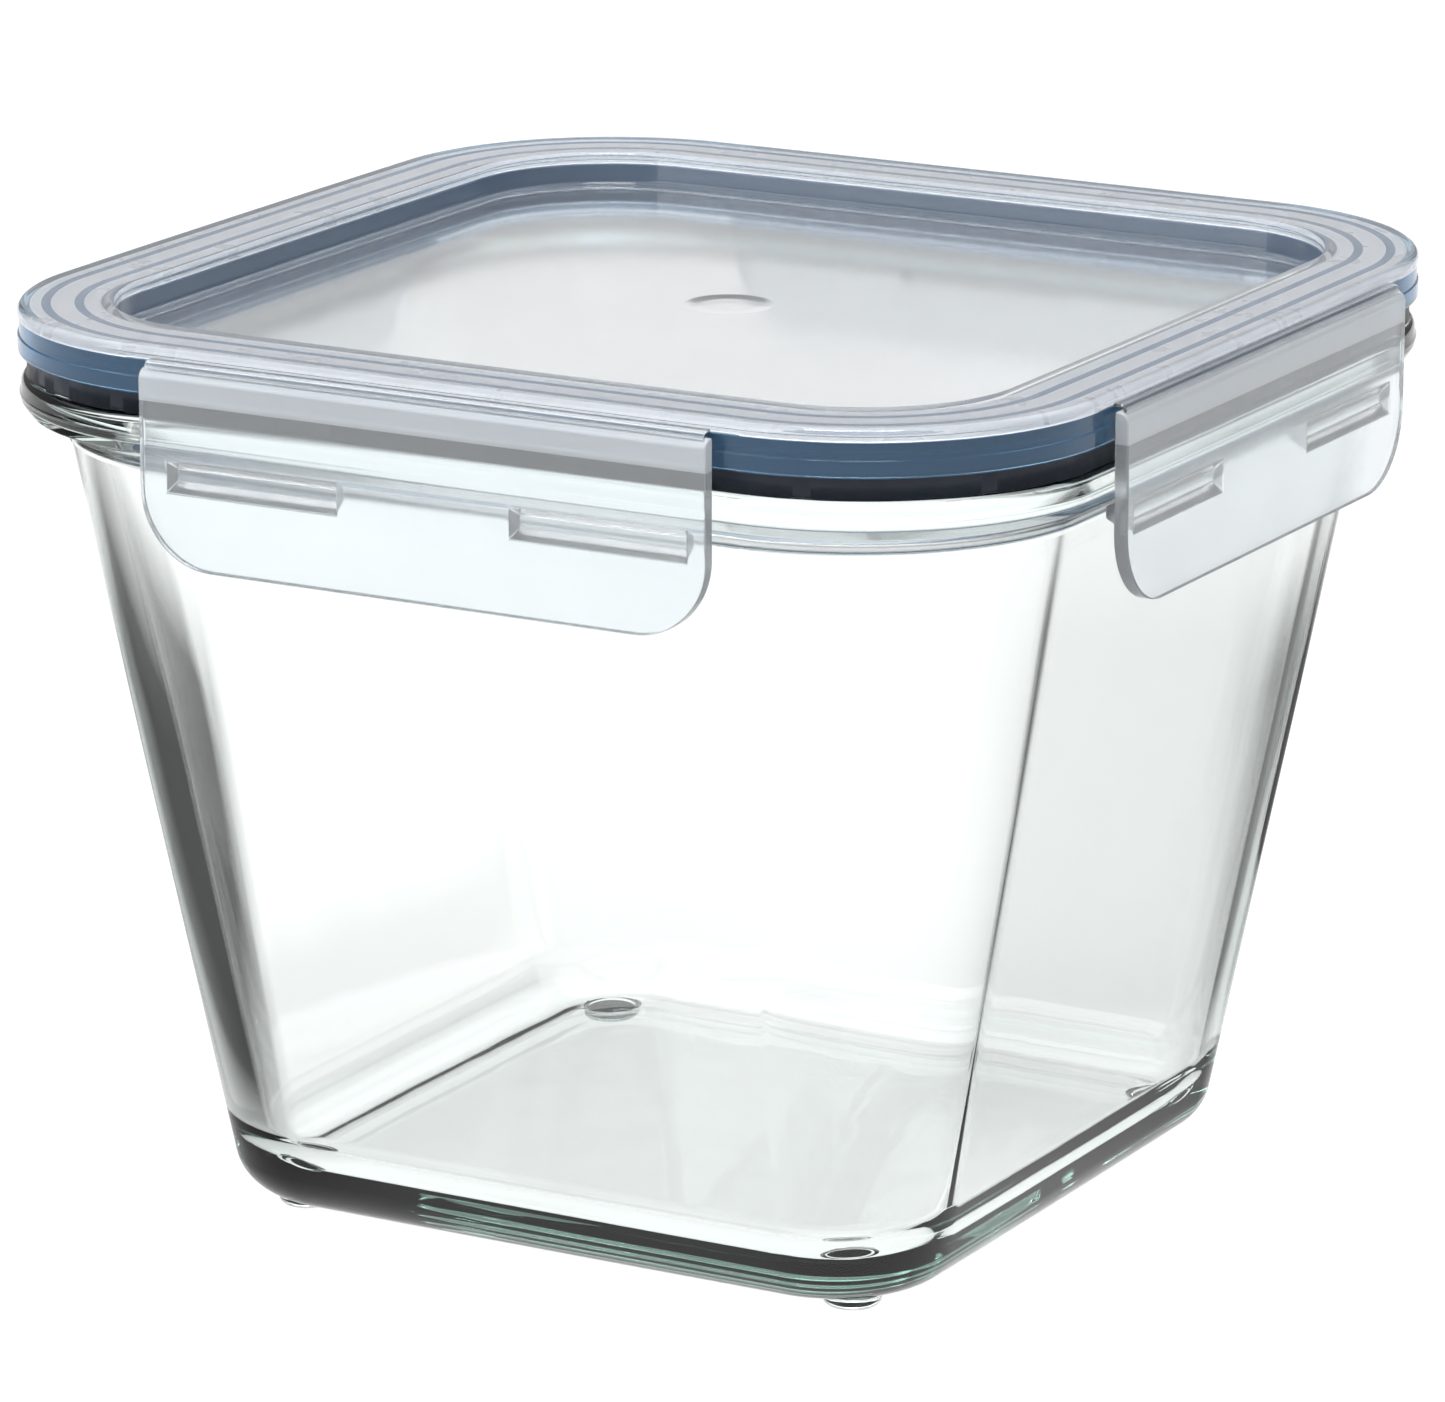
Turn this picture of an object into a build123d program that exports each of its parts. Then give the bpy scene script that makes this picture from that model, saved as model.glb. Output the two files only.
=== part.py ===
from build123d import *
import math
import os

# Square glass storage container with a clip-on lid. Millimetres, +Z up, the feet stand
# on z = 0 and the vertical centre line is the Z axis. The front faces -Y.

# glass vessel
glass_height = 112.0          # feet to the top of the rim
foot_height = 1.8
foot_dia = 7.6
foot_inset = 10.5             # each foot's centre, in from the foot of the wall line
foot_rounding = 0.9
base_half = 50.9              # half width of the wall line where it reaches the underside
base_corner = 16.0
heel_radius = 6.5
rim_height = 5.0
rim_overhang = 4.7            # how far the rim stands out from the top of the wall
rim_cove = 3.4
rim_inset = 0.1               # how far the rim's widest line stays inside the lid's edge
glass_wall = 4.1
glass_base = 5.2
floor_fillet = 8.0
mouth_rounding = 1.0

# lid moulding
lid_half = 75.0
lid_corner = 32.4
side_bow = 0.6                # how far each side swells at its middle
lid_height = 9.0              # from the rim of the glass to the top of the lid
plate = 1.6
lid_edge_rounding = 1.1
skirt_wall = 1.5
skirt_rise = 2.9              # from the rim of the glass to the skirt's lower edge
skirt_step_rise = 5.2
skirt_step = 0.2
recess_depth = 4.5
plug_wall = 1.6
plug_depth = 1.6              # how far the plug goes into the mouth
plug_clearance = 1.9          # between the plug and the straight sides of the mouth
gate_dia = 10.4
gate_depth = 0.35

# silicone seal
seal_rest_gap = 0.02          # gap under the seal, which in use is pressed on the rim
seal_side_gap = 0.1
seal_lip_inset = 1.1
seal_lip_gap = 0.05
seal_body_rise = 5.4
seal_rib_width = 1.1
seal_rib_offsets = (2.2, 6.4)  # from the skirt's inner face to the middle of each lip
seal_rib_gap = 0.02

# snap flaps, one on each side
flap_width = 80.0
flap_drop = 13.1              # how far a flap reaches below the underside of the rim
flap_top_gap = 2.1            # from the top of the lid down to a flap's top edge
flap_thick = 1.9
flap_gap = 0.4                # between the flap's inner face and the lid's side
flap_corner = 10.0
flap_shoulder = 1.4
hinge_film = 0.4
hinge_film_drop = 1.2         # from the top of the lid down to the film's upper face
hinge_end_gap = 0.6
catch_reach = 3.0             # how far a catch stands in from the flap's inner face
catch_height = 4.0
catch_drop = 0.3              # how far a catch's upper edge stays off the rim's underside
catch_spacing = 24.4          # clear width between a flap's two catches
catch_end_gap = 3.2

# values that follow
rim_top = glass_height
rim_bottom = rim_top - rim_height
wall_top = rim_bottom - rim_cove
wall_half = lid_half - rim_inset - rim_overhang
wall_corner = lid_corner - rim_inset - 0.9
skirt_bottom = rim_top + skirt_rise
lid_top = rim_top + lid_height
underside = lid_top - plate
floor_top = lid_top - recess_depth
floor_bottom = floor_top - plate
plug_inset = rim_inset + rim_overhang + glass_wall + plug_clearance
recess_inset = plug_inset + plug_wall
side_radius = lid_half ** 2 / (2 * side_bow)
flap_inner = lid_half + flap_gap
flap_bottom = rim_bottom - flap_drop
flap_top = lid_top - flap_top_gap
hinge_film_top = lid_top - hinge_film_drop
catch_top = rim_bottom + catch_drop
wall_slope = (wall_half - base_half) / (wall_top - foot_height)
corner_slope = (wall_corner - base_corner) / (wall_top - foot_height)


def outline(half, corner, z, bow_radius):
    """Closed rounded square with slightly bowed sides, as a wire at height z."""
    arc_centre = half - bow_radius
    reach = bow_radius - half
    span = (bow_radius - corner) ** 2 - reach ** 2
    k = (-reach + math.sqrt(reach ** 2 + 2 * span)) / 2
    turn = math.atan2(k, k - arc_centre)
    edges = []
    for quarter in range(4):
        spin = quarter * math.pi / 2
        side = []
        for angle in (-turn, 0, turn):
            side.append((arc_centre + bow_radius * math.cos(angle), bow_radius * math.sin(angle)))
        bend = []
        for angle in (turn, math.pi / 4, math.pi / 2 - turn):
            bend.append((k + corner * math.cos(angle), k + corner * math.sin(angle)))
        bend[0] = side[2]
        next_side = (side[0][0], side[0][1])
        bend[2] = (-next_side[1], next_side[0])
        for points in (side, bend):
            placed = []
            for x, y in points:
                placed.append(
                    (
                        x * math.cos(spin) - y * math.sin(spin),
                        x * math.sin(spin) + y * math.cos(spin),
                        z,
                    )
                )
            edges.append(Edge.make_three_point_arc(*placed))
    return Wire(edges)


def lid_line(inset, z):
    """The lid's outline moved inwards by inset, at height z."""
    return outline(lid_half - inset, lid_corner - inset, z, side_radius - inset)


def slab(inset, low, high):
    """A solid block on the lid's outline."""
    return extrude(Face(lid_line(inset, low)), high - low, dir=(0, 0, 1))


def ring(outer_inset, inner_inset, low, high):
    """A ring between two insets of the lid's outline."""
    return slab(outer_inset, low, high) - slab(inner_inset, low - 1, high + 1)


def stack(sections):
    """A solid through a list of (half, corner, z) outlines."""
    wires = []
    for half, corner, z in sections:
        wires.append(outline(half, corner, z, side_radius))
    return Solid.make_loft(wires, True)


def wall_section(z, inset):
    """Half width and corner radius of the tapered wall at height z, moved in by inset."""
    rise = z - foot_height
    return base_half + wall_slope * rise - inset, base_corner + corner_slope * rise - inset, z


def bowl_bottom(z_low, radius, inset, steps):
    """Sections of a rounded lower edge that runs into the tapered wall."""
    lean = math.atan(wall_slope)
    sweep = math.pi / 2 - lean
    centre_z = z_low + radius
    half_at_centre, corner_at_centre, _ = wall_section(centre_z, inset)
    centre_half = half_at_centre - radius / math.cos(lean)
    sections = []
    for step in range(steps + 1):
        angle = sweep * step / steps
        reach = radius * math.sin(angle)
        drop = radius * math.cos(angle)
        half = centre_half + reach
        corner = corner_at_centre - (half_at_centre - half)
        sections.append((half, corner, centre_z - drop))
    return sections


def glass_container():
    rim_half = lid_half - rim_inset
    rim_corner = lid_corner - rim_inset
    outer = bowl_bottom(foot_height, heel_radius, 0, 6)
    outer.append(wall_section(wall_top, 0))
    outer.append((wall_half + 0.5, wall_corner + 0.3, rim_bottom - 1.8))
    outer.append((wall_half + 1.5, wall_corner + 0.5, rim_bottom - 0.7))
    for inset, rise in ((1.6, 0), (0.6, 1.0), (0, 2.6), (0.15, 3.6), (0.6, 4.5), (1.3, 5.0)):
        height = rim_bottom + rise * rim_height / 5
        outer.append((rim_half - inset, rim_corner - inset, height))
    inner = bowl_bottom(foot_height + glass_base, floor_fillet, glass_wall, 6)
    mouth_half = wall_half - glass_wall
    mouth_corner = wall_corner - glass_wall
    bevel = mouth_rounding
    for widen, height in ((0, wall_top), (0, rim_top - bevel), (0.3 * bevel, rim_top - 0.3 * bevel)):
        inner.append((mouth_half + widen, mouth_corner + widen, height))
    inner.append((mouth_half + bevel, mouth_corner + bevel, rim_top))
    inner.append((mouth_half + bevel, mouth_corner + bevel, rim_top + 2))
    glass = stack(outer) - stack(inner)
    foot = extrude(Circle(foot_dia / 2), foot_height + 1.5)
    foot = fillet(foot.edges().group_by(Axis.Z)[0], foot_rounding)
    offset = base_half - foot_inset
    for x in (-offset, offset):
        for y in (-offset, offset):
            glass = glass + Pos(x, y, 0) * foot
    return glass


def lid_shell():
    plate_block = slab(0, underside, lid_top)
    plate_block = fillet(plate_block.edges().group_by(Axis.Z)[-1], lid_edge_rounding)
    step_z = rim_top + skirt_step_rise
    plug_bottom = rim_top - plug_depth
    skirt = ring(0, skirt_wall, skirt_bottom, step_z)
    skirt = skirt + ring(skirt_step, skirt_wall, step_z, underside)
    body = plate_block + skirt + slab(plug_inset, plug_bottom, underside)
    body = body - slab(recess_inset, floor_top, lid_top + 1)
    body = body - slab(recess_inset, plug_bottom - 1, floor_bottom)
    gate = Pos(0, 0, floor_top - gate_depth) * extrude(Circle(gate_dia / 2), 1)
    return body - gate


def seal_ring():
    low = rim_top + seal_rest_gap
    lip_top = skirt_bottom - seal_lip_gap
    body_top = rim_top + seal_body_rise
    inner_inset = plug_inset - seal_side_gap
    outer_inset = skirt_wall + seal_side_gap
    seal = ring(seal_lip_inset, inner_inset, low, lip_top)
    seal = seal + ring(outer_inset, inner_inset, lip_top, body_top)
    for offset in seal_rib_offsets:
        inset = skirt_wall + offset
        edge = seal_rib_width / 2
        seal = seal + ring(inset - edge, inset + edge, body_top, underside - seal_rib_gap)
    return seal


def flap_plate():
    height = flap_top - flap_bottom
    body = Pos(0, 0, flap_bottom + height / 2) * Box(flap_width, flap_thick, height)
    body = Pos(0, -(flap_inner + flap_thick / 2), 0) * body
    corners = body.edges().filter_by(Axis.Y).group_by(Axis.Z)[0]
    body = fillet(corners, flap_corner)
    shoulder = body.edges().filter_by(Axis.X).group_by(Axis.Z)[-1].sort_by(Axis.Y)[0]
    return fillet(shoulder, flap_shoulder)


def hinge_strip():
    length = flap_width - 2 * hinge_end_gap
    bend_y = -(flap_inner + flap_thick / 2)
    web = Pos(0, (bend_y - lid_half) / 2, hinge_film_top - hinge_film / 2) * Box(
        length, -bend_y - lid_half, hinge_film
    )
    drop = hinge_film_top - hinge_film - flap_top
    leg = Pos(0, bend_y + hinge_film / 2, flap_top + drop / 2) * Box(length, hinge_film, drop)
    return web + leg


def catch_rib():
    start = catch_spacing / 2
    length = flap_width / 2 - start - catch_end_gap
    root = -flap_inner
    tip = root + catch_reach
    profile = [
        (root, catch_top - catch_height),
        (tip - 0.2, catch_top - 2.4),
        (tip, catch_top - 1.7),
        (tip - 0.8, catch_top - 1.0),
        (root, catch_top),
    ]
    points = []
    for y, z in profile:
        points.append((start, y, z))
    face = Face(Wire.make_polygon(points, close=True))
    return extrude(face, length, dir=(1, 0, 0))


os.makedirs("parts", exist_ok=True)
export_step(glass_container(), "parts/glass_container.step")
export_step(lid_shell(), "parts/lid_shell.step")
export_step(seal_ring(), "parts/seal_ring.step")
flap = flap_plate()
strip = hinge_strip()
catch = catch_rib()
for index, side in enumerate(("front", "right", "back", "left")):
    turn = Rot(0, 0, 90 * index)
    export_step(turn * flap, "parts/flap_" + side + ".step")
    export_step(turn * strip, "parts/hinge_" + side + ".step")
    export_step(turn * catch, "parts/catch_" + side + "_a.step")
    export_step(turn * catch.mirror(Plane.YZ), "parts/catch_" + side + "_b.step")
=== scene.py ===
"""Square glass storage container with a clip-on lid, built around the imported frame."""

import math

import bmesh
import bpy
from bpy.props import FloatProperty, FloatVectorProperty, PointerProperty
from mathutils import Matrix, Vector


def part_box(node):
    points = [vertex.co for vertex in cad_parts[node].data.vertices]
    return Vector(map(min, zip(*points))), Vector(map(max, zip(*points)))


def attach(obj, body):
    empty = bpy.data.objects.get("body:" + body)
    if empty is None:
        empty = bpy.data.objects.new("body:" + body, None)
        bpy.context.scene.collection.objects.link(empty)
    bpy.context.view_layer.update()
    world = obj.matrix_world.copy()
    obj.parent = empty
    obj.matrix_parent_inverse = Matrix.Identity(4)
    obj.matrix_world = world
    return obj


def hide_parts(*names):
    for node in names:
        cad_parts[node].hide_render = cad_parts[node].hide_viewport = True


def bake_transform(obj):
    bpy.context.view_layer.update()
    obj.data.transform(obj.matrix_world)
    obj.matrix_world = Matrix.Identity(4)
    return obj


bl_info = {
    "name": "Glass Storage Container",
    "version": (1, 0, 0),
    "blender": (4, 5, 0),
    "location": "3D Viewport > Sidebar > Container",
    "description": "Builds a square glass container with its lid, silicone seal and snap flaps",
    "category": "Object",
}

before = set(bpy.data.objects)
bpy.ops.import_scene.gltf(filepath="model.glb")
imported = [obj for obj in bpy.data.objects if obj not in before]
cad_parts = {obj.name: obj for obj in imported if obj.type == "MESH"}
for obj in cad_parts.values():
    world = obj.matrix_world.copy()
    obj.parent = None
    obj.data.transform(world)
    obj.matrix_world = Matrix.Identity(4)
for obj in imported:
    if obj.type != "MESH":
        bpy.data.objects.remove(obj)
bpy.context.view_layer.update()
GLASS_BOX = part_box("glass_container")
LID_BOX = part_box("lid_shell")
FLAP_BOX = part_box("flap_front")
SIDES = ("front", "right", "back", "left")
CORNER_STEPS = 30  # points round each corner of an outline
SIDE_CUTS = 11  # points along each side of it
MM = 0.001
TOUCH = 0.01 * MM  # how near a point has to be to count as on a face
WELD = 0.001  # millimetres; nearer points of a drawn line become one
FRONT_TURN = math.radians(29.2)  # how far right of the front face the camera stands
CAMERA_PLACE = (0.4805, -0.8587, 0.33065)  # about a metre away, 15 degrees above level
CAMERA_AIM = Vector((0, 0, 0.0635))  # just above half the object's height

# noise scales of the finishes, in cycles per metre
GLASS_WAVES = 38.0
PLASTIC_MOTTLE = 55.0
PLASTIC_FLOW = 140.0
PLASTIC_WAVES = 60.0
LID_GRAIN = 900.0
FLAP_GRAIN = 1500.0
SILICONE_MOTTLE = 90.0
SILICONE_BLOOM = 400.0
SILICONE_GRAIN = 1800.0


def millimetres(label, words, value):
    """A length the user may change, given in millimetres and kept in metres."""
    return FloatProperty(
        name=label, description=words, default=value * MM, min=0.0, precision=5, unit="LENGTH"
    )


def colour(label, words, value):
    """A colour the user may change."""
    return FloatVectorProperty(
        name=label, description=words, default=value, size=3, min=0.0, max=1.0, subtype="COLOR"
    )


class CONTAINER_PG_glass(bpy.types.PropertyGroup):
    """Sizes and tint of the pressed glass vessel."""

    height: FloatProperty(
        name="Height",
        description="From the feet to the top of the rim",
        default=GLASS_BOX[1].z,
        unit="LENGTH",
    )
    foot_height: millimetres("Foot height", "Height of the four round feet", 1.8)
    foot_diameter: millimetres("Foot diameter", "Width of each round foot", 7.6)
    foot_offset: millimetres("Foot offset", "Each foot's centre, from the centre line", 40.4)
    base_half: millimetres("Base half width", "Half width of the wall line at the underside", 50.9)
    base_corner: millimetres("Base corner", "Corner radius at the underside", 16.0)
    heel: millimetres("Heel radius", "Rounding between the underside and the wall", 6.5)
    floor: millimetres("Floor thickness", "Glass under the inside floor", 5.2)
    floor_fillet: millimetres("Floor fillet", "Inside rounding between floor and wall", 8.0)
    wall: millimetres("Wall thickness", "Glass wall, measured level", 4.1)
    wall_half: millimetres("Top half width", "Half width of the wall just below the rim", 70.2)
    wall_corner: millimetres("Top corner", "Corner radius of the wall just below the rim", 31.4)
    rim_height: millimetres("Rim height", "Height of the thick rim", 5.0)
    rim_inset: millimetres("Rim inset", "How far the rim stays inside the lid's edge", 0.1)
    cove: millimetres("Cove", "Height of the hollow under the rim", 3.4)
    thick_corner: millimetres("Thick corners", "Extra radius of the inside corners", 0.6)
    tint: colour("Tint", "What the glass lets through along its edges", (0.16, 0.78, 0.6))
    tint_strength: FloatProperty(
        name="Tint strength", description="Absorption per metre of glass", default=7.0, min=0.0
    )


class CONTAINER_PG_lid(bpy.types.PropertyGroup):
    """Sizes and colours of the moulded lid."""

    half: FloatProperty(
        name="Half width",
        description="From the centre line to the middle of a side",
        default=LID_BOX[1].x,
        unit="LENGTH",
    )
    top: FloatProperty(
        name="Top", description="Height of the lid's top face", default=LID_BOX[1].z, unit="LENGTH"
    )
    corner: millimetres("Corner radius", "Corner radius of the lid's outline", 32.4)
    bow: millimetres("Side bow", "How far each side swells at its middle", 0.6)
    plate: millimetres("Plate", "Thickness of the border and of the floor panel", 1.6)
    skirt: millimetres("Skirt drop", "From the top face to the skirt's lower edge", 6.1)
    skirt_step: millimetres("Skirt step", "From the top face to the ledge in the skirt", 3.8)
    plug_drop: millimetres("Plug drop", "From the top face to the plug's lower edge", 10.6)
    recess: millimetres("Recess depth", "How deep the middle panel lies", 4.5)
    recess_inset: millimetres("Recess inset", "From the lid's edge to the recess wall", 12.4)
    gate: millimetres("Gate mark", "Diameter of the shallow dimple in the middle", 10.4)
    plastic: colour("Plastic", "Colour of the translucent plastic", (0.93, 0.945, 0.965))
    milky: colour("Milky", "Haze over the gaps between the seal's lips", (0.9, 0.94, 1.0))
    bluish: colour("Bluish", "Haze of the thin walls that face the seal", (0.12, 0.34, 0.6))
    contact: colour("Contact", "Where the seal's lips press on the lid", (0.03, 0.15, 0.33))
    plug: colour("Plug", "Haze of the wall inside the seal", (0.22, 0.38, 0.62))
    clearness: FloatProperty(
        name="Clearness", description="Share of light that passes", default=0.965, min=0.5, max=1.0
    )
    haze: FloatProperty(
        name="Haze", description="How much the plastic blurs what is behind it", default=0.055
    )


class CONTAINER_PG_seal(bpy.types.PropertyGroup):
    """Sizes and colour of the silicone seal."""

    low_drop: millimetres("Underside drop", "From the lid's top to the seal's underside", 8.98)
    lip_drop: millimetres("Lip drop", "From the lid's top to the lip under the skirt", 6.15)
    body_drop: millimetres("Body drop", "From the lid's top to the seal's upper face", 3.6)
    rib_drop: millimetres("Rib drop", "From the lid's top to the tops of the two ribs", 1.62)
    silicone: colour("Silicone", "Colour of the seal", (0.0045, 0.0085, 0.017))
    roughness: FloatProperty(
        name="Roughness", description="Roughness of the silicone", default=0.45, min=0.0, max=1.0
    )


class CONTAINER_PG_flap(bpy.types.PropertyGroup):
    """Sizes and colours of the four snap flaps."""

    corner: millimetres("Lower corners", "Radius of a flap's two lower corners", 10.0)
    shoulder: millimetres("Shoulder", "Rounding along the top outer edge", 1.4)
    edge: millimetres("Edge rounding", "Rounding of all the other edges", 0.35)
    catch_reach: millimetres("Catch reach", "How far a catch stands in from the flap", 3.0)
    plastic: colour("Plastic", "Colour of the frosted plastic", (0.9, 0.94, 0.97))
    clearness: FloatProperty(
        name="Clearness", description="Share of light that passes", default=0.88, min=0.5, max=1.0
    )
    haze: FloatProperty(
        name="Haze", description="How much the plastic blurs what is behind it", default=0.14
    )
    milky_clearness: FloatProperty(
        name="Milky clearness", description="Clearness of the thick upper part", default=0.68
    )
    milky_drop: millimetres("Milky drop", "From the lid's top to where the flap clears", 6.1)


class CONTAINER_PG_stage(bpy.types.PropertyGroup):
    """Floor, light and camera."""

    floor: colour("Floor", "Colour of the floor", (0.12, 0.12, 0.12))
    floor_glow: FloatProperty(name="Floor glow", description="Light table under it", default=0.95)
    sky: FloatProperty(name="Overhead light", description="Light from above", default=2.0)
    dim: FloatProperty(name="Room light", description="Light from round the horizon", default=0.24)
    soft_box: FloatProperty(name="Soft box", description="Power of the soft box", default=10.0)
    top_box: FloatProperty(name="Top box", description="Power of the small box above", default=5.0)
    back_strip: FloatProperty(name="Back strip", description="Power of the low strip", default=0.03)
    lens: FloatProperty(name="Lens", description="Focal length in millimetres", default=194.5)


# shapes


def line_edges(bm, number):
    """The edges of one numbered line."""
    line = bm.verts.layers.int["line"]
    return [e for e in bm.edges if all(v[line] == number for v in e.verts)]


def first_line(bm, count, number):
    """A numbered circle, drawn in millimetres, whose points know their place in it."""
    for name in ("line", "place"):
        if not bm.verts.layers.int.get(name):
            bm.verts.layers.int.new(name)
    points = bmesh.ops.create_circle(bm, segments=count, radius=1.0)["verts"]
    for index, p in enumerate(points):
        p[bm.verts.layers.int["place"]] = index
        p[bm.verts.layers.int["line"]] = number
    return points


def next_line(bm, number):
    """Pulls a new line out of the one numbered before it."""
    made = bmesh.ops.extrude_edge_only(bm, edges=line_edges(bm, number - 1))["geom"]
    points = [g for g in made if isinstance(g, bmesh.types.BMVert)]
    for p in points:
        p[bm.verts.layers.int["line"]] = number
    return points


def outline_point(half, corner, height, bow_radius, index):
    """Where one point of a rounded square with bowed sides lies, in millimetres."""
    quarter = CORNER_STEPS + SIDE_CUTS
    step = index % quarter
    flat = half - corner
    shift = flat - flat * flat / (2 * bow_radius)
    if step < CORNER_STEPS:
        angle = (step + 0.5) / CORNER_STEPS * math.pi / 2
        x, y = shift + corner * math.cos(angle), shift + corner * math.sin(angle)
    else:
        x = shift - 2 * shift * (step - CORNER_STEPS + 1) / (SIDE_CUTS + 1)
        y = half - x * x / (2 * bow_radius)
    return Matrix.Rotation(index // quarter * math.pi / 2, 3, "Z") @ Vector((x, y, height)) / MM


def drawn(bm, outlines, bow_radius, shut=False):
    """A surface pulled from one rounded square to the next; shut joins the last to the first."""
    for number, (half, corner, height) in enumerate(outlines, 1):
        if number == 1:
            points = first_line(bm, 4 * (CORNER_STEPS + SIDE_CUTS), 1)
        else:
            points = next_line(bm, number)
        place = bm.verts.layers.int["place"]
        for p in points:
            p.co = outline_point(half, corner, height, bow_radius, p[place])
    if shut:
        for p in next_line(bm, len(outlines) + 1):
            p.co = outline_point(*outlines[0], bow_radius, p[place])
        bmesh.ops.remove_doubles(bm, verts=bm.verts, dist=WELD)


def turned(bm, steps, centre, number, count=40):
    """A round surface through (radius, height) steps about an upright line, closed at its end."""
    for index, (radius, height) in enumerate(steps):
        points = first_line(bm, count, number) if index == 0 else next_line(bm, number + index)
        place = bm.verts.layers.int["place"]
        for p in points:
            spin = 2 * math.pi * p[place] / count
            reach = Vector((math.cos(spin), math.sin(spin), 0)) * radius
            p.co = (Vector((centre.x, centre.y, height)) + reach) / MM
    closed_fill(bm, line_edges(bm, number + len(steps) - 1))


def band_faces(bm, number):
    """The faces between one numbered line and the next."""
    line = bm.verts.layers.int["line"]
    return [f for f in bm.faces if {v[line] for v in f.verts} == {number, number + 1}]


def closed_fill(bm, edges):
    """A flat face inside one closed line, or between it and the holes within it."""
    bmesh.ops.triangle_fill(bm, use_beauty=True, use_dissolve=False, edges=edges)


def round_off(bm, number, radius, steps):
    """Rounds one numbered line to the given radius."""
    if radius <= 0:
        return
    edges = line_edges(bm, number)
    lean = edges[0].calc_face_angle()
    bevel(bm, edges, radius / MM * math.tan(lean / 2), steps)


def middle(edge):
    """The middle of an edge."""
    return (edge.verts[0].co + edge.verts[1].co) / 2


def upright_to(edge, axis):
    """True if the edge runs along the given axis."""
    run = edge.verts[1].co - edge.verts[0].co
    return abs(run[axis]) > 0.99 * run.length


def bevel(bm, edges, width, steps):
    """Rounds the given edges."""
    bmesh.ops.bevel(
        bm,
        geom=edges,
        affect="EDGES",
        offset_type="OFFSET",
        offset=width,
        segments=steps,
        profile=0.5,
        material=-1,
        clamp_overlap=True,
    )


def cut(bm, at, across):
    """Divides every face that a plane crosses."""
    everything = list(bm.verts) + list(bm.edges) + list(bm.faces)
    bmesh.ops.bisect_plane(bm, geom=everything, plane_co=at, plane_no=across)


def joined(bm, other):
    """The first solid with the second merged into it."""
    pair = []
    for name, part in (("whole", bm), ("added", other)):
        mesh = bpy.data.meshes.new(name)
        part.to_mesh(mesh)
        part.free()
        pair.append(bpy.data.objects.new(name, mesh))
        bpy.context.scene.collection.objects.link(pair[-1])
    whole, added = pair
    merge = whole.modifiers.new("Merge", "BOOLEAN")
    merge.operation = "UNION"
    merge.solver = "EXACT"
    merge.object = added
    result = bmesh.new()
    result.from_object(whole, bpy.context.evaluated_depsgraph_get())
    for part in pair:
        bpy.data.objects.remove(part)
    return result


def finished(bm, name, material, smooth=True):
    """Makes the mesh an object with outward normals and its finish on."""
    if bm.verts.layers.int.get("line"):
        bmesh.ops.scale(bm, vec=(MM, MM, MM), verts=bm.verts)
        for layer in ("line", "place"):
            bm.verts.layers.int.remove(bm.verts.layers.int[layer])
    bmesh.ops.recalc_face_normals(bm, faces=bm.faces)
    for f in bm.faces:
        f.smooth = smooth
    mesh = bpy.data.meshes.new(name)
    bm.to_mesh(mesh)
    bm.free()
    mesh.materials.append(material)
    piece = bpy.data.objects.new(name, mesh)
    bpy.context.scene.collection.objects.link(piece)
    even = piece.modifiers.new("Even normals", "WEIGHTED_NORMAL")
    even.mode = "FACE_AREA"
    even.weight = 100
    even.keep_sharp = True
    return piece


# finishes


def fresh(name):
    """An empty node material with its output node."""
    material = bpy.data.materials.get(name) or bpy.data.materials.new(name)
    material.use_nodes = True
    nodes = material.node_tree.nodes
    nodes.clear()
    return material, nodes, material.node_tree.links, nodes.new("ShaderNodeOutputMaterial")


def noise(nodes, links, scale, detail=3.0, stretch=(1, 1, 1)):
    """A noise pattern fixed to the piece."""
    place = nodes.new("ShaderNodeTexCoord")
    fit = nodes.new("ShaderNodeMapping")
    fit.inputs["Scale"].default_value = stretch
    pattern = nodes.new("ShaderNodeTexNoise")
    pattern.inputs["Scale"].default_value = scale
    pattern.inputs["Detail"].default_value = detail
    links.new(place.outputs["Object"], fit.inputs["Vector"])
    links.new(fit.outputs["Vector"], pattern.inputs["Vector"])
    return pattern.outputs["Fac"]


def ranged(nodes, links, value, low, high, start=0.3, end=0.7):
    """The pattern's values between start and end, spread from low to high."""
    spread = nodes.new("ShaderNodeMapRange")
    spread.inputs["From Min"].default_value = start
    spread.inputs["From Max"].default_value = end
    spread.inputs["To Min"].default_value = low
    spread.inputs["To Max"].default_value = high
    links.new(value, spread.inputs["Value"])
    return spread.outputs["Result"]


def bumped(nodes, links, height, strength, distance, under=None):
    """A bump from a height, on top of another bump if one is given."""
    bump = nodes.new("ShaderNodeBump")
    bump.inputs["Strength"].default_value = strength
    bump.inputs["Distance"].default_value = distance
    links.new(height, bump.inputs["Height"])
    if under is not None:
        links.new(under, bump.inputs["Normal"])
    return bump.outputs["Normal"]


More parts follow.
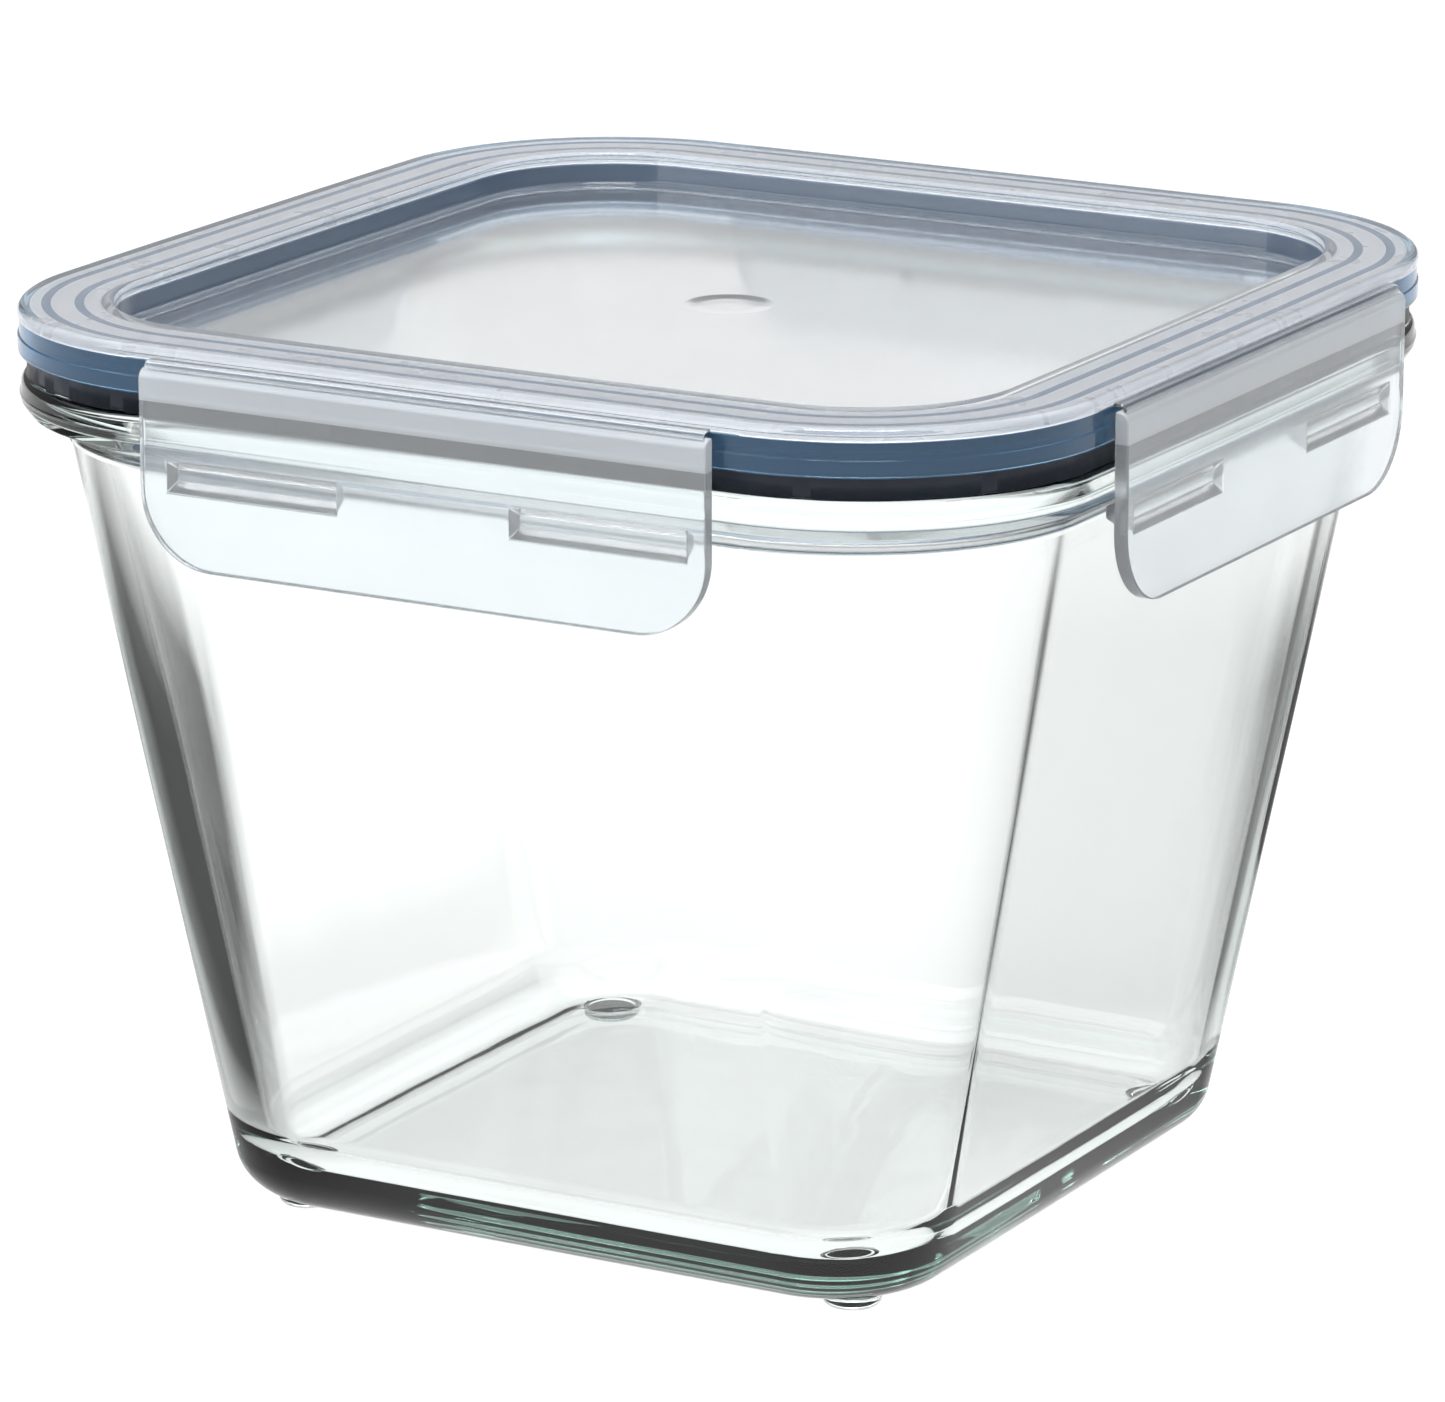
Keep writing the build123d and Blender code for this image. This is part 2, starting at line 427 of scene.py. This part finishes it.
def clear_glass(sizes):
    """Pressed glass: clear, faintly wavy, green along its edges."""
    material, nodes, links, out = fresh("pressed_clear_glass")
    shader = nodes.new("ShaderNodeBsdfPrincipled")
    shader.inputs["Base Color"].default_value = (1, 1, 1, 1)
    shader.inputs["Transmission Weight"].default_value = 1.0
    shader.inputs["IOR"].default_value = 1.5
    shader.inputs["Roughness"].default_value = 0.0
    waves = noise(nodes, links, GLASS_WAVES, 1.5, (1, 1, 0.45))
    links.new(bumped(nodes, links, waves, 0.22, 0.6 * MM), shader.inputs["Normal"])
    edge = nodes.new("ShaderNodeVolumeAbsorption")
    edge.inputs["Color"].default_value = (*sizes.tint, 1)
    edge.inputs["Density"].default_value = sizes.tint_strength
    links.new(shader.outputs["BSDF"], out.inputs["Surface"])
    links.new(edge.outputs["Volume"], out.inputs["Volume"])
    return material


def moulded_plastic(name, colour, clearness, haze, grain):
    """Translucent moulded plastic with a fine grain and faint flow marks."""
    material, nodes, links, out = fresh(name)
    shader = nodes.new("ShaderNodeBsdfPrincipled")
    mottle = noise(nodes, links, PLASTIC_MOTTLE, 4.0)
    tone = nodes.new("ShaderNodeMix")
    tone.data_type = "RGBA"
    tone.inputs["A"].default_value = (*colour, 1)
    tone.inputs["B"].default_value = (*[c * 0.97 for c in colour], 1)
    links.new(ranged(nodes, links, mottle, 0.0, 1.0), tone.inputs["Factor"])
    links.new(tone.outputs["Result"], shader.inputs["Base Color"])
    shader.inputs["Transmission Weight"].default_value = clearness
    shader.inputs["IOR"].default_value = 1.49
    flow = noise(nodes, links, PLASTIC_FLOW, 3.0)
    rough = ranged(nodes, links, flow, haze * 0.85, haze * 1.15)
    links.new(rough, shader.inputs["Roughness"])
    waves = bumped(nodes, links, noise(nodes, links, PLASTIC_WAVES, 2.0), 0.05, 0.1 * MM)
    fine = bumped(nodes, links, noise(nodes, links, grain, 2.0), 0.1, 0.01 * MM, waves)
    links.new(fine, shader.inputs["Normal"])
    links.new(shader.outputs["BSDF"], out.inputs["Surface"])
    return material


def silicone(look):
    """Satin navy silicone with a soft mottle."""
    material, nodes, links, out = fresh("navy_silicone")
    shader = nodes.new("ShaderNodeBsdfPrincipled")
    mottle = noise(nodes, links, SILICONE_MOTTLE, 4.0)
    tone = nodes.new("ShaderNodeMix")
    tone.data_type = "RGBA"
    tone.inputs["A"].default_value = (*look.silicone, 1)
    tone.inputs["B"].default_value = (*[c * 1.35 for c in look.silicone], 1)
    links.new(ranged(nodes, links, mottle, 0.0, 1.0), tone.inputs["Factor"])
    links.new(tone.outputs["Result"], shader.inputs["Base Color"])
    shader.inputs["Specular IOR Level"].default_value = 0.35
    bloom = noise(nodes, links, SILICONE_BLOOM)
    rough = ranged(nodes, links, bloom, look.roughness * 0.85, look.roughness * 1.2)
    links.new(rough, shader.inputs["Roughness"])
    fine = bumped(nodes, links, noise(nodes, links, SILICONE_GRAIN, 2.0), 0.2, 0.05 * MM)
    links.new(fine, shader.inputs["Normal"])
    links.new(shader.outputs["BSDF"], out.inputs["Surface"])
    return material


def stage_floor(look):
    """Plain pale floor."""
    material, nodes, links, out = fresh("stage_floor")
    shader = nodes.new("ShaderNodeBsdfPrincipled")
    shader.inputs["Base Color"].default_value = (*look.floor, 1)
    shader.inputs["Roughness"].default_value = 0.9
    shader.inputs["Specular IOR Level"].default_value = 0.0
    shader.inputs["Emission Color"].default_value = (1, 1, 1, 1)
    shader.inputs["Emission Strength"].default_value = look.floor_glow
    links.new(shader.outputs["BSDF"], out.inputs["Surface"])
    return material


def contact_shade():
    """Painted contact shadow: the dark touch between a foot and the floor."""
    material, nodes, links, out = fresh("contact_shade")
    matt = nodes.new("ShaderNodeBsdfDiffuse")
    matt.inputs["Color"].default_value = (0.02, 0.025, 0.023, 1)
    links.new(matt.outputs["BSDF"], out.inputs["Surface"])
    return material


def refraction_shade_card(name, centre, turn, reach, grey):
    """Matt dark card that fades out on all sides, least on the one next to the object: painted dark
    refraction, seen only through the glass.
    """
    material, nodes, links, out = fresh(name)
    place = nodes.new("ShaderNodeTexCoord")
    fit = nodes.new("ShaderNodeMapping")
    fit.vector_type = "TEXTURE"
    fit.inputs["Location"].default_value = centre
    fit.inputs["Rotation"].default_value = (0, 0, turn)
    fit.inputs["Scale"].default_value = reach
    links.new(place.outputs["Object"], fit.inputs["Vector"])
    split = nodes.new("ShaderNodeSeparateXYZ")
    links.new(fit.outputs["Vector"], split.inputs["Vector"])
    size = nodes.new("ShaderNodeMath")
    size.operation = "ABSOLUTE"
    links.new(split.outputs["Y"], size.inputs[0])
    fades = [
        ranged(nodes, links, split.outputs["X"], 0.0, 1.0, -1.0, -0.2),
        ranged(nodes, links, split.outputs["X"], 1.0, 0.0, 0.65, 1.0),
        ranged(nodes, links, size.outputs["Value"], 1.0, 0.0, 0.6, 1.0),
    ]
    cover = fades[0]
    for fade in fades[1:]:
        both = nodes.new("ShaderNodeMath")
        both.operation = "MULTIPLY"
        links.new(cover, both.inputs[0])
        links.new(fade, both.inputs[1])
        cover = both.outputs["Value"]
    matt = nodes.new("ShaderNodeBsdfDiffuse")
    matt.inputs["Color"].default_value = (grey, grey, grey, 1)
    mix = nodes.new("ShaderNodeMixShader")
    links.new(cover, mix.inputs["Fac"])
    links.new(nodes.new("ShaderNodeBsdfTransparent").outputs["BSDF"], mix.inputs[1])
    links.new(matt.outputs["BSDF"], mix.inputs[2])
    links.new(mix.outputs["Shader"], out.inputs["Surface"])
    return material


# pieces


class CONTAINER_OT_glass(bpy.types.Operator):
    """Build the glass vessel with its rim and feet"""

    bl_idname = "container.glass"
    bl_label = "Glass Vessel"

    def execute(self, context):
        g, lid = context.scene.container_glass, context.scene.container_lid
        bow = lid.half ** 2 / (2 * lid.bow)
        rim_low = g.height - g.rim_height
        wall_top = rim_low - g.cove
        slope = (g.wall_half - g.base_half) / (wall_top - g.foot_height)
        corner_slope = (g.wall_corner - g.base_corner) / (wall_top - g.foot_height)

        def wall(z, inset):
            rise = z - g.foot_height
            half = g.base_half + slope * rise - inset
            return half, g.base_corner + corner_slope * rise - inset, z

        def inside(z):
            half, corner, z = wall(z, g.wall)
            return half, corner + g.thick_corner, z

        floor_z = g.foot_height + g.floor
        heel_in = g.heel * 0.9  # room for the heel's rounding
        fillet_in = g.floor_fillet * 0.88  # and for the floor fillet's
        rim_half = LID_BOX[1].x - g.rim_inset
        rim_corner = lid.corner - g.rim_inset
        mouth_half = g.wall_half - g.wall
        mouth_corner = g.wall_corner - g.wall
        # half width, corner radius, height, rounding of the line, steps of the rounding
        profile = [
            (g.base_half - heel_in, g.base_corner - heel_in, g.foot_height, 0, 0),
            (g.base_half, g.base_corner, g.foot_height, g.heel, 12),
            (*wall(g.foot_height + 30 * MM, 0), 0, 0),
            (*wall(g.foot_height + 60 * MM, 0), 0, 0),
            (g.wall_half + 0.1 * MM, g.wall_corner, wall_top + 1.6 * MM, 3.0 * MM, 6),
            (rim_half - 1.2 * MM, rim_corner - 1.2 * MM, rim_low + 0.1 * MM, 1.0 * MM, 5),
            (rim_half - 0.1 * MM, rim_corner - 0.1 * MM, rim_low + 1.7 * MM, 1.2 * MM, 4),
            (rim_half - 0.1 * MM, rim_corner - 0.1 * MM, rim_low + 2.35 * MM, 0, 0),
            (rim_half, rim_corner, rim_low + 2.45 * MM, 0, 0),
            (rim_half, rim_corner, rim_low + 2.75 * MM, 0, 0),
            (rim_half - 0.15 * MM, rim_corner - 0.15 * MM, rim_low + 2.85 * MM, 0, 0),
            (rim_half - 0.35 * MM, rim_corner - 0.35 * MM, g.height, 1.2 * MM, 6),
            (mouth_half, mouth_corner, g.height, 1.1 * MM, 6),
            (mouth_half, mouth_corner, wall_top, 6.0 * MM, 6),
            (*inside(g.foot_height + 65 * MM), 0, 0),
            (*inside(g.foot_height + 35 * MM), 0, 0),
            (*inside(floor_z), g.floor_fillet, 12),
        ]
        half, corner, z = inside(floor_z)
        profile.append((half - fillet_in, corner - fillet_in, z, 0, 0))

        bm = bmesh.new()
        drawn(bm, [step[:3] for step in profile], bow)
        closed_fill(bm, line_edges(bm, 1))
        closed_fill(bm, line_edges(bm, len(profile)))
        bmesh.ops.recalc_face_normals(bm, faces=bm.faces)
        for number, (_, _, _, radius, steps) in enumerate(profile, 1):
            round_off(bm, number, radius, steps)
        bm = joined(bm, self.feet(g))
        piece = finished(bm, "glass_vessel", clear_glass(g))
        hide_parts("glass_container")
        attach(piece, "container")
        return {"FINISHED"}

    def feet(self, g):
        """The four round feet, each flared a little where it leaves the underside."""
        r = g.foot_diameter / 2
        steps = (
            (r + 0.5 * MM, g.foot_height + 1.0 * MM),
            (r + 0.4 * MM, g.foot_height + 0.02 * MM),
            (r + 0.12 * MM, g.foot_height - 0.12 * MM),
            (r, g.foot_height - 0.4 * MM),
            (r, 0.9 * MM),
            (r - 0.12 * MM, 0.45 * MM),
            (r - 0.45 * MM, 0.12 * MM),
            (r - 0.9 * MM, 0),
        )
        bm = bmesh.new()
        for index, (x, y) in enumerate(((-1, -1), (1, -1), (1, 1), (-1, 1))):
            start = 1 + 10 * index
            turned(bm, steps, Vector((x, y, 0)) * g.foot_offset, start)
            closed_fill(bm, line_edges(bm, start))
        bmesh.ops.recalc_face_normals(bm, faces=bm.faces)
        return bm


class CONTAINER_OT_lid(bpy.types.Operator):
    """Build the lid's border, skirt, recessed panel and plug wall"""

    bl_idname = "container.lid"
    bl_label = "Lid"

    def execute(self, context):
        d = context.scene.container_lid
        bow = d.half ** 2 / (2 * d.bow)
        under = d.top - d.plate
        skirt_low = d.top - d.skirt
        step_z = d.top - d.skirt_step
        panel_top = d.top - d.recess
        panel_low = panel_top - d.plate
        plug_low = d.top - d.plug_drop
        plug_out = d.recess_inset - d.plate
        # inset from the lid's outline, height, rounding of the line, steps of the rounding
        profile = [
            (d.recess_inset + 3 * MM, panel_top, 0, 0),
            (d.recess_inset, panel_top, 0.9 * MM, 5),
            (d.recess_inset, d.top, 0.7 * MM, 5),
            (0, d.top, 1.1 * MM, 7),
            (0, under, 0.12 * MM, 2),
            (0.2 * MM, under - 0.05 * MM, 0.1 * MM, 2),
            (0.2 * MM, step_z, 0.08 * MM, 2),
            (0, step_z - 0.05 * MM, 0.12 * MM, 2),
            (0, skirt_low, 0.3 * MM, 4),
            (1.5 * MM, skirt_low, 0.3 * MM, 4),
            (1.5 * MM, under, 0.5 * MM, 4),
            (3.1 * MM, under, 0, 0),
            (4.3 * MM, under, 0, 0),
            (7.3 * MM, under, 0, 0),
            (8.5 * MM, under, 0, 0),
            (plug_out, under, 0.5 * MM, 4),
            (plug_out, plug_low, 0.4 * MM, 4),
            (d.recess_inset, plug_low, 0.4 * MM, 4),
            (d.recess_inset, panel_low, 0.6 * MM, 4),
            (d.recess_inset + 3 * MM, panel_low, 0, 0),
        ]
        bm = bmesh.new()
        drawn(bm, [(d.half - inset, d.corner - inset, z) for inset, z, _, _ in profile], bow)
        # the bands of the milky underside, the skirt, the contact lines and the plug wall
        zones = ((11, 13, 15), (5, 6, 7, 8, 9, 10), (12, 14), (16,))
        for slot, bands in enumerate(zones, 1):
            for face in (face for band in bands for face in band_faces(bm, band)):
                face.material_index = slot
        self.gate(bm, panel_top, d.gate / 2, 100)
        closed_fill(bm, line_edges(bm, 1) + line_edges(bm, 100))
        closed_fill(bm, line_edges(bm, len(profile)))
        bmesh.ops.recalc_face_normals(bm, faces=bm.faces)
        for number, (_, _, radius, steps) in enumerate(profile, 1):
            round_off(bm, number, radius, steps)
        clear = moulded_plastic("lid_plastic", d.plastic, d.clearness, d.haze, LID_GRAIN)
        piece = finished(bm, "lid_moulding", clear)
        for name, tone, clearness, haze in (
            ("lid_milky_underside", d.milky, 0.5, 0.3),
            ("lid_skirt_plastic", d.bluish, 0.88, 0.12),
            ("lid_contact_lines", d.contact, 0.5, 0.2),
            ("lid_plug_wall", d.plug, 0.6, 0.2),
        ):
            zone = moulded_plastic(name, tone, clearness, haze, LID_GRAIN)
            piece.data.materials.append(zone)
        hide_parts("lid_shell")
        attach(piece, "lid")
        return {"FINISHED"}

    def gate(self, bm, z, radius, number):
        """The shallow gate dimple in the middle of the panel, from its outer line inwards."""
        slope = ((0.9, 0), (0.5, 0.01), (0, 0.04), (-0.6, 0.08), (-1.2, 0.11), (-1.8, 0.12))
        steps = [(radius + reach * MM, z - drop * MM) for reach, drop in slope]
        turned(bm, steps, Vector((0, 0, 0)), number, 64)


class CONTAINER_OT_seal(bpy.types.Operator):
    """Build the silicone seal with its two top lips"""

    bl_idname = "container.seal"
    bl_label = "Silicone Seal"

    def execute(self, context):
        d, seal = context.scene.container_lid, context.scene.container_seal
        bow = d.half ** 2 / (2 * d.bow)
        low, lip = d.top - seal.low_drop, d.top - seal.lip_drop
        body, rib = d.top - seal.body_drop, d.top - seal.rib_drop
        # inset in millimetres, height, rounding in millimetres, steps of the rounding
        profile = [
            (1.1, low, 0.7, 5),
            (1.1, lip, 0.25, 3),
            (1.6, lip, 0.15, 2),
            (1.6, body, 0.4, 4),
            (3.15, body, 0.3, 3),
            (3.15, rib, 0.25, 3),
            (4.25, rib, 0.25, 3),
            (4.25, body, 0.3, 3),
            (7.35, body, 0.3, 3),
            (7.35, rib, 0.25, 3),
            (8.45, rib, 0.25, 3),
            (8.45, body, 0.3, 3),
            (10.7, body, 0.4, 4),
            (10.7, low, 0.5, 4),
        ]
        bm = bmesh.new()
        outlines = [(d.half - inset * MM, d.corner - inset * MM, z) for inset, z, _, _ in profile]
        drawn(bm, outlines, bow, shut=True)
        bmesh.ops.recalc_face_normals(bm, faces=bm.faces)
        for number, (_, _, radius, steps) in enumerate(profile, 1):
            round_off(bm, number, radius * MM, steps)
        piece = finished(bm, "silicone_seal", silicone(seal))
        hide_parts("seal_ring")
        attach(piece, "lid")
        return {"FINISHED"}


class CONTAINER_OT_flaps(bpy.types.Operator):
    """Build the four snap flaps, each with its two catches"""

    bl_idname = "container.flaps"
    bl_label = "Snap Flaps"

    def execute(self, context):
        f = context.scene.container_flap
        finish = moulded_plastic("flap_plastic", f.plastic, f.clearness, f.haze, FLAP_GRAIN)
        upper = moulded_plastic(
            "flap_upper_plastic", f.plastic, f.milky_clearness, f.haze, FLAP_GRAIN
        )
        for index, side in enumerate(SIDES):
            bm = self.flap(f)
            turn = Matrix.Rotation(index * math.pi / 2, 4, "Z")
            bmesh.ops.transform(bm, matrix=turn, verts=bm.verts)
            piece = finished(bm, "snap_flap_" + side, finish)
            piece.data.materials.append(upper)
            catches = ["catch_" + side + "_" + end for end in ("a", "b")]
            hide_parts("flap_" + side, *catches)
            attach(piece, "flap_" + side)
        return {"FINISHED"}

    def flap(self, f):
        """The front flap: a plate with two rounded lower corners, two catches pulled out of it."""
        low, high = FLAP_BOX
        bm = bmesh.new()
        bmesh.ops.create_cube(bm, size=1.0)
        bmesh.ops.scale(bm, vec=high - low, verts=bm.verts)
        bmesh.ops.translate(bm, vec=(low + high) / 2, verts=bm.verts)
        lower = [e for e in bm.edges if upright_to(e, 1) and middle(e).z < low.z + TOUCH]
        bevel(bm, lower, f.corner, 16)
        a_low, a_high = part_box("catch_front_a")
        for x in (a_low.x, a_high.x, -a_low.x, -a_high.x):
            cut(bm, Vector((x, 0, 0)), Vector((1, 0, 0)))
        for z in (a_low.z, a_high.z):
            cut(bm, Vector((0, 0, z)), Vector((0, 0, 1)))
        roots = []
        for face in bm.faces:
            c = face.calc_center_median()
            inner = abs(c.y - high.y) < TOUCH
            if inner and a_low.z < c.z < a_high.z and a_low.x < abs(c.x) < a_high.x:
                roots.append(face)
        for root in roots:
            self.pull_out(bm, root, f, a_low, a_high)
        bmesh.ops.dissolve_limit(
            bm, angle_limit=math.radians(0.5), verts=bm.verts, edges=bm.edges
        )
        shoulder = []
        for e in bm.edges:
            m = middle(e)
            if m.z > high.z - TOUCH and m.y < low.y + TOUCH:
                shoulder.append(e)
        bevel(bm, shoulder, f.shoulder, 8)
        sharp = 0.5  # radians between two faces
        rest = [e for e in bm.edges if len(e.link_faces) == 2 and e.calc_face_angle() > sharp]
        bevel(bm, rest, f.edge, 3)
        split = LID_BOX[1].z - f.milky_drop
        cut(bm, Vector((0, 0, split)), Vector((0, 0, 1)))
        for face in bm.faces:
            if face.calc_center_median().z > split:
                face.material_index = 1
        return bm

    def pull_out(self, bm, root, f, low, high):
        """Pulls one catch out of the plate and narrows it towards its tip."""
        made = bmesh.ops.extrude_face_region(bm, geom=[root])["geom"]
        tip = [g for g in made if isinstance(g, bmesh.types.BMVert)]
        bmesh.ops.delete(bm, geom=[root], context="FACES_ONLY")
        bmesh.ops.translate(bm, vec=(0, f.catch_reach, 0), verts=tip)
        centre = sum((v.co for v in tip), Vector()) / len(tip)
        narrow = Matrix.Translation(-centre)
        bmesh.ops.scale(bm, vec=(0.95, 1, 0.4), space=narrow, verts=tip)


class CONTAINER_OT_hinges(bpy.types.Operator):
    """Build the four thin curved hinge films between the lid and its flaps"""

    bl_idname = "container.hinges"
    bl_label = "Hinge Films"

    def execute(self, context):
        d = context.scene.container_lid
        finish = moulded_plastic("hinge_plastic", d.plastic, d.clearness, d.haze, LID_GRAIN)
        low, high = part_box("hinge_front")
        thick = 0.4 * MM
        # the film's lower side: out from the lid's side and up from its inner end
        bend = ((0.5, 0), (0.9, -0.03), (1.15, -0.16), (1.3, -0.4), (1.35, -0.9))
        for index, side in enumerate(SIDES):
            bm = bmesh.new()
            last = bm.verts.new((low.x, -(d.half - 0.05 * MM), high.z - thick))
            for out, rise in bend:
                last = bmesh.ops.extrude_vert_indiv(bm, verts=[last])["verts"][0]
                last.co = Vector((low.x, -(d.half + out * MM), high.z - thick + rise * MM))
            swept = bmesh.ops.extrude_edge_only(bm, edges=list(bm.edges))["geom"]
            far = [g for g in swept if isinstance(g, bmesh.types.BMVert)]
            bmesh.ops.translate(bm, vec=(high.x - low.x, 0, 0), verts=far)
            bmesh.ops.recalc_face_normals(bm, faces=bm.faces)
            bmesh.ops.solidify(bm, geom=list(bm.faces), thickness=-thick)
            turn = Matrix.Rotation(index * math.pi / 2, 4, "Z")
            bmesh.ops.transform(bm, matrix=turn, verts=bm.verts)
            piece = finished(bm, "hinge_film_" + side, finish)
            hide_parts("hinge_" + side)
            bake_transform(piece)
        return {"FINISHED"}


class CONTAINER_OT_stage(bpy.types.Operator):
    """Set up the floor, the soft light and the camera"""

    bl_idname = "container.stage"
    bl_label = "Stage"

    def execute(self, context):
        s = context.scene.container_stage
        bm = bmesh.new()
        bmesh.ops.create_circle(bm, cap_ends=True, segments=96, radius=30.0)
        floor = finished(bm, "floor", stage_floor(s), smooth=False)
        floor.modifiers.clear()

        world = bpy.data.worlds.new("room")
        context.scene.world = world
        world.use_nodes = True
        self.room(world.node_tree, s)

        # dark cards seen only through the glass paint dark refractions along its sides
        self.flag("refraction_shade_left", -1, math.radians(9), 0.05)
        self.flag("refraction_shade_right", 1, math.radians(-9), 0.12)
        self.foot_shades(context.scene.container_glass)

        self.lamp("soft_box", (-0.75, -1.2, 0.75), 1.2, 0.9, s.soft_box)
        self.lamp("top_box", (0.05, -0.15, 1.1), 0.4, 0.3, s.top_box)
        self.lamp("back_strip", (-0.098, 0.175, 0.168), 0.32, 0.075, s.back_strip)

        lens = bpy.data.cameras.new("camera")
        lens.lens = s.lens
        lens.sensor_width = 36.0
        lens.shift_x = -0.0044
        lens.clip_start, lens.clip_end = 0.05, 100.0
        camera = bpy.data.objects.new("camera", lens)
        camera.location = CAMERA_PLACE
        aim = CAMERA_AIM - camera.location
        camera.rotation_euler = aim.to_track_quat("-Z", "Y").to_euler()
        context.scene.collection.objects.link(camera)
        context.scene.camera = camera
        context.scene.view_settings.view_transform = "Standard"
        return {"FINISHED"}

    def lamp(self, name, place, width, height, power):
        """A soft box aimed at the upper half of the object."""
        box = bpy.data.lights.new(name, "AREA")
        box.shape = "RECTANGLE"
        box.size, box.size_y = width, height
        box.energy = power
        lamp = bpy.data.objects.new(name, box)
        lamp.location = place
        aim = Vector((0, 0, min(0.09, place[2]))) - lamp.location
        lamp.rotation_euler = aim.to_track_quat("-Z", "Y").to_euler()
        bpy.context.scene.collection.objects.link(lamp)

    def room(self, tree, s):
        """A room dim near the horizon and bright overhead, with a white wall behind the set."""
        nodes, links = tree.nodes, tree.links
        back = nodes["Background"]
        place = nodes.new("ShaderNodeTexCoord")
        split = nodes.new("ShaderNodeSeparateXYZ")
        links.new(place.outputs["Generated"], split.inputs["Vector"])
        glow = ranged(nodes, links, split.outputs["Z"], s.dim, s.sky, 0.45, 0.75)
        path = nodes.new("ShaderNodeLightPath")
        wall = nodes.new("ShaderNodeMix")
        wall.inputs["B"].default_value = 1.0
        links.new(path.outputs["Is Camera Ray"], wall.inputs["Factor"])
        links.new(glow, wall.inputs["A"])
        links.new(wall.outputs["Result"], back.inputs["Strength"])
        back.inputs["Color"].default_value = (1, 1, 1, 1)

    def foot_shades(self, g):
        """The dark contact patch under each foot, seen only through the glass: painted contact
        shadow.
        """
        bm = bmesh.new()
        for x, y in ((-1, -1), (1, -1), (1, 1), (-1, 1)):
            place = Matrix.Translation(Vector((x * g.foot_offset, y * g.foot_offset, 0.15 * MM)))
            bmesh.ops.create_circle(bm, cap_ends=True, segments=24, radius=3.2 * MM, matrix=place)
        self.hidden(finished(bm, "foot_shades", contact_shade(), smooth=False))

    def flag(self, name, side, turn, grey):
        """A dark card on the floor to the left (-1) or right (1), seen only through the pieces:
        painted dark refraction in their walls.
        """
        half_width, half_depth = 0.103, 0.21
        centre = Matrix.Rotation(FRONT_TURN, 3, "Z") @ Vector((side * 0.17, 0.07, 0.002))
        turn += FRONT_TURN
        bm = bmesh.new()
        bmesh.ops.create_grid(bm, x_segments=1, y_segments=1, size=1.0)
        bmesh.ops.scale(bm, vec=(half_width, half_depth, 1), verts=bm.verts)
        bmesh.ops.rotate(bm, verts=bm.verts, matrix=Matrix.Rotation(turn, 3, "Z"))
        bmesh.ops.translate(bm, vec=centre, verts=bm.verts)
        finish = refraction_shade_card(name, centre, turn, (-side * half_width, half_depth, 1), grey)
        self.hidden(finished(bm, name, finish, smooth=False))

    def hidden(self, card):
        """Keeps a stage card out of the camera's view and its shadow off the floor."""
        card.modifiers.clear()
        card.visible_camera = card.visible_diffuse = card.visible_shadow = False


class CONTAINER_PT_sidebar(bpy.types.Panel):
    """Buttons and sizes for the container"""

    bl_label = "Glass Storage Container"
    bl_idname = "CONTAINER_PT_sidebar"
    bl_space_type = "VIEW_3D"
    bl_region_type = "UI"
    bl_category = "Container"

    def draw(self, context):
        for operator in OPERATORS:
            self.layout.operator(operator.bl_idname)
        for slot in GROUPS:
            group = getattr(context.scene, slot)
            box = self.layout.box()
            box.label(text=slot.replace("container_", "").title())
            for key in group.bl_rna.properties.keys():
                if key not in ("rna_type", "name"):
                    box.prop(group, key)


GROUPS = {
    "container_glass": CONTAINER_PG_glass,
    "container_lid": CONTAINER_PG_lid,
    "container_seal": CONTAINER_PG_seal,
    "container_flap": CONTAINER_PG_flap,
    "container_stage": CONTAINER_PG_stage,
}
OPERATORS = (
    CONTAINER_OT_stage,
    CONTAINER_OT_glass,
    CONTAINER_OT_lid,
    CONTAINER_OT_seal,
    CONTAINER_OT_flaps,
    CONTAINER_OT_hinges,
)


def register():
    for cls in (*GROUPS.values(), *OPERATORS, CONTAINER_PT_sidebar):
        bpy.utils.register_class(cls)
    for slot, group in GROUPS.items():
        setattr(bpy.types.Scene, slot, PointerProperty(type=group))


def unregister():
    for slot in GROUPS:
        delattr(bpy.types.Scene, slot)
    for cls in reversed((*GROUPS.values(), *OPERATORS, CONTAINER_PT_sidebar)):
        bpy.utils.unregister_class(cls)


def main():
    register()
    for operator in OPERATORS:
        group, name = operator.bl_idname.split(".")
        getattr(getattr(bpy.ops, group), name)()


if __name__ == "__main__":
    main()
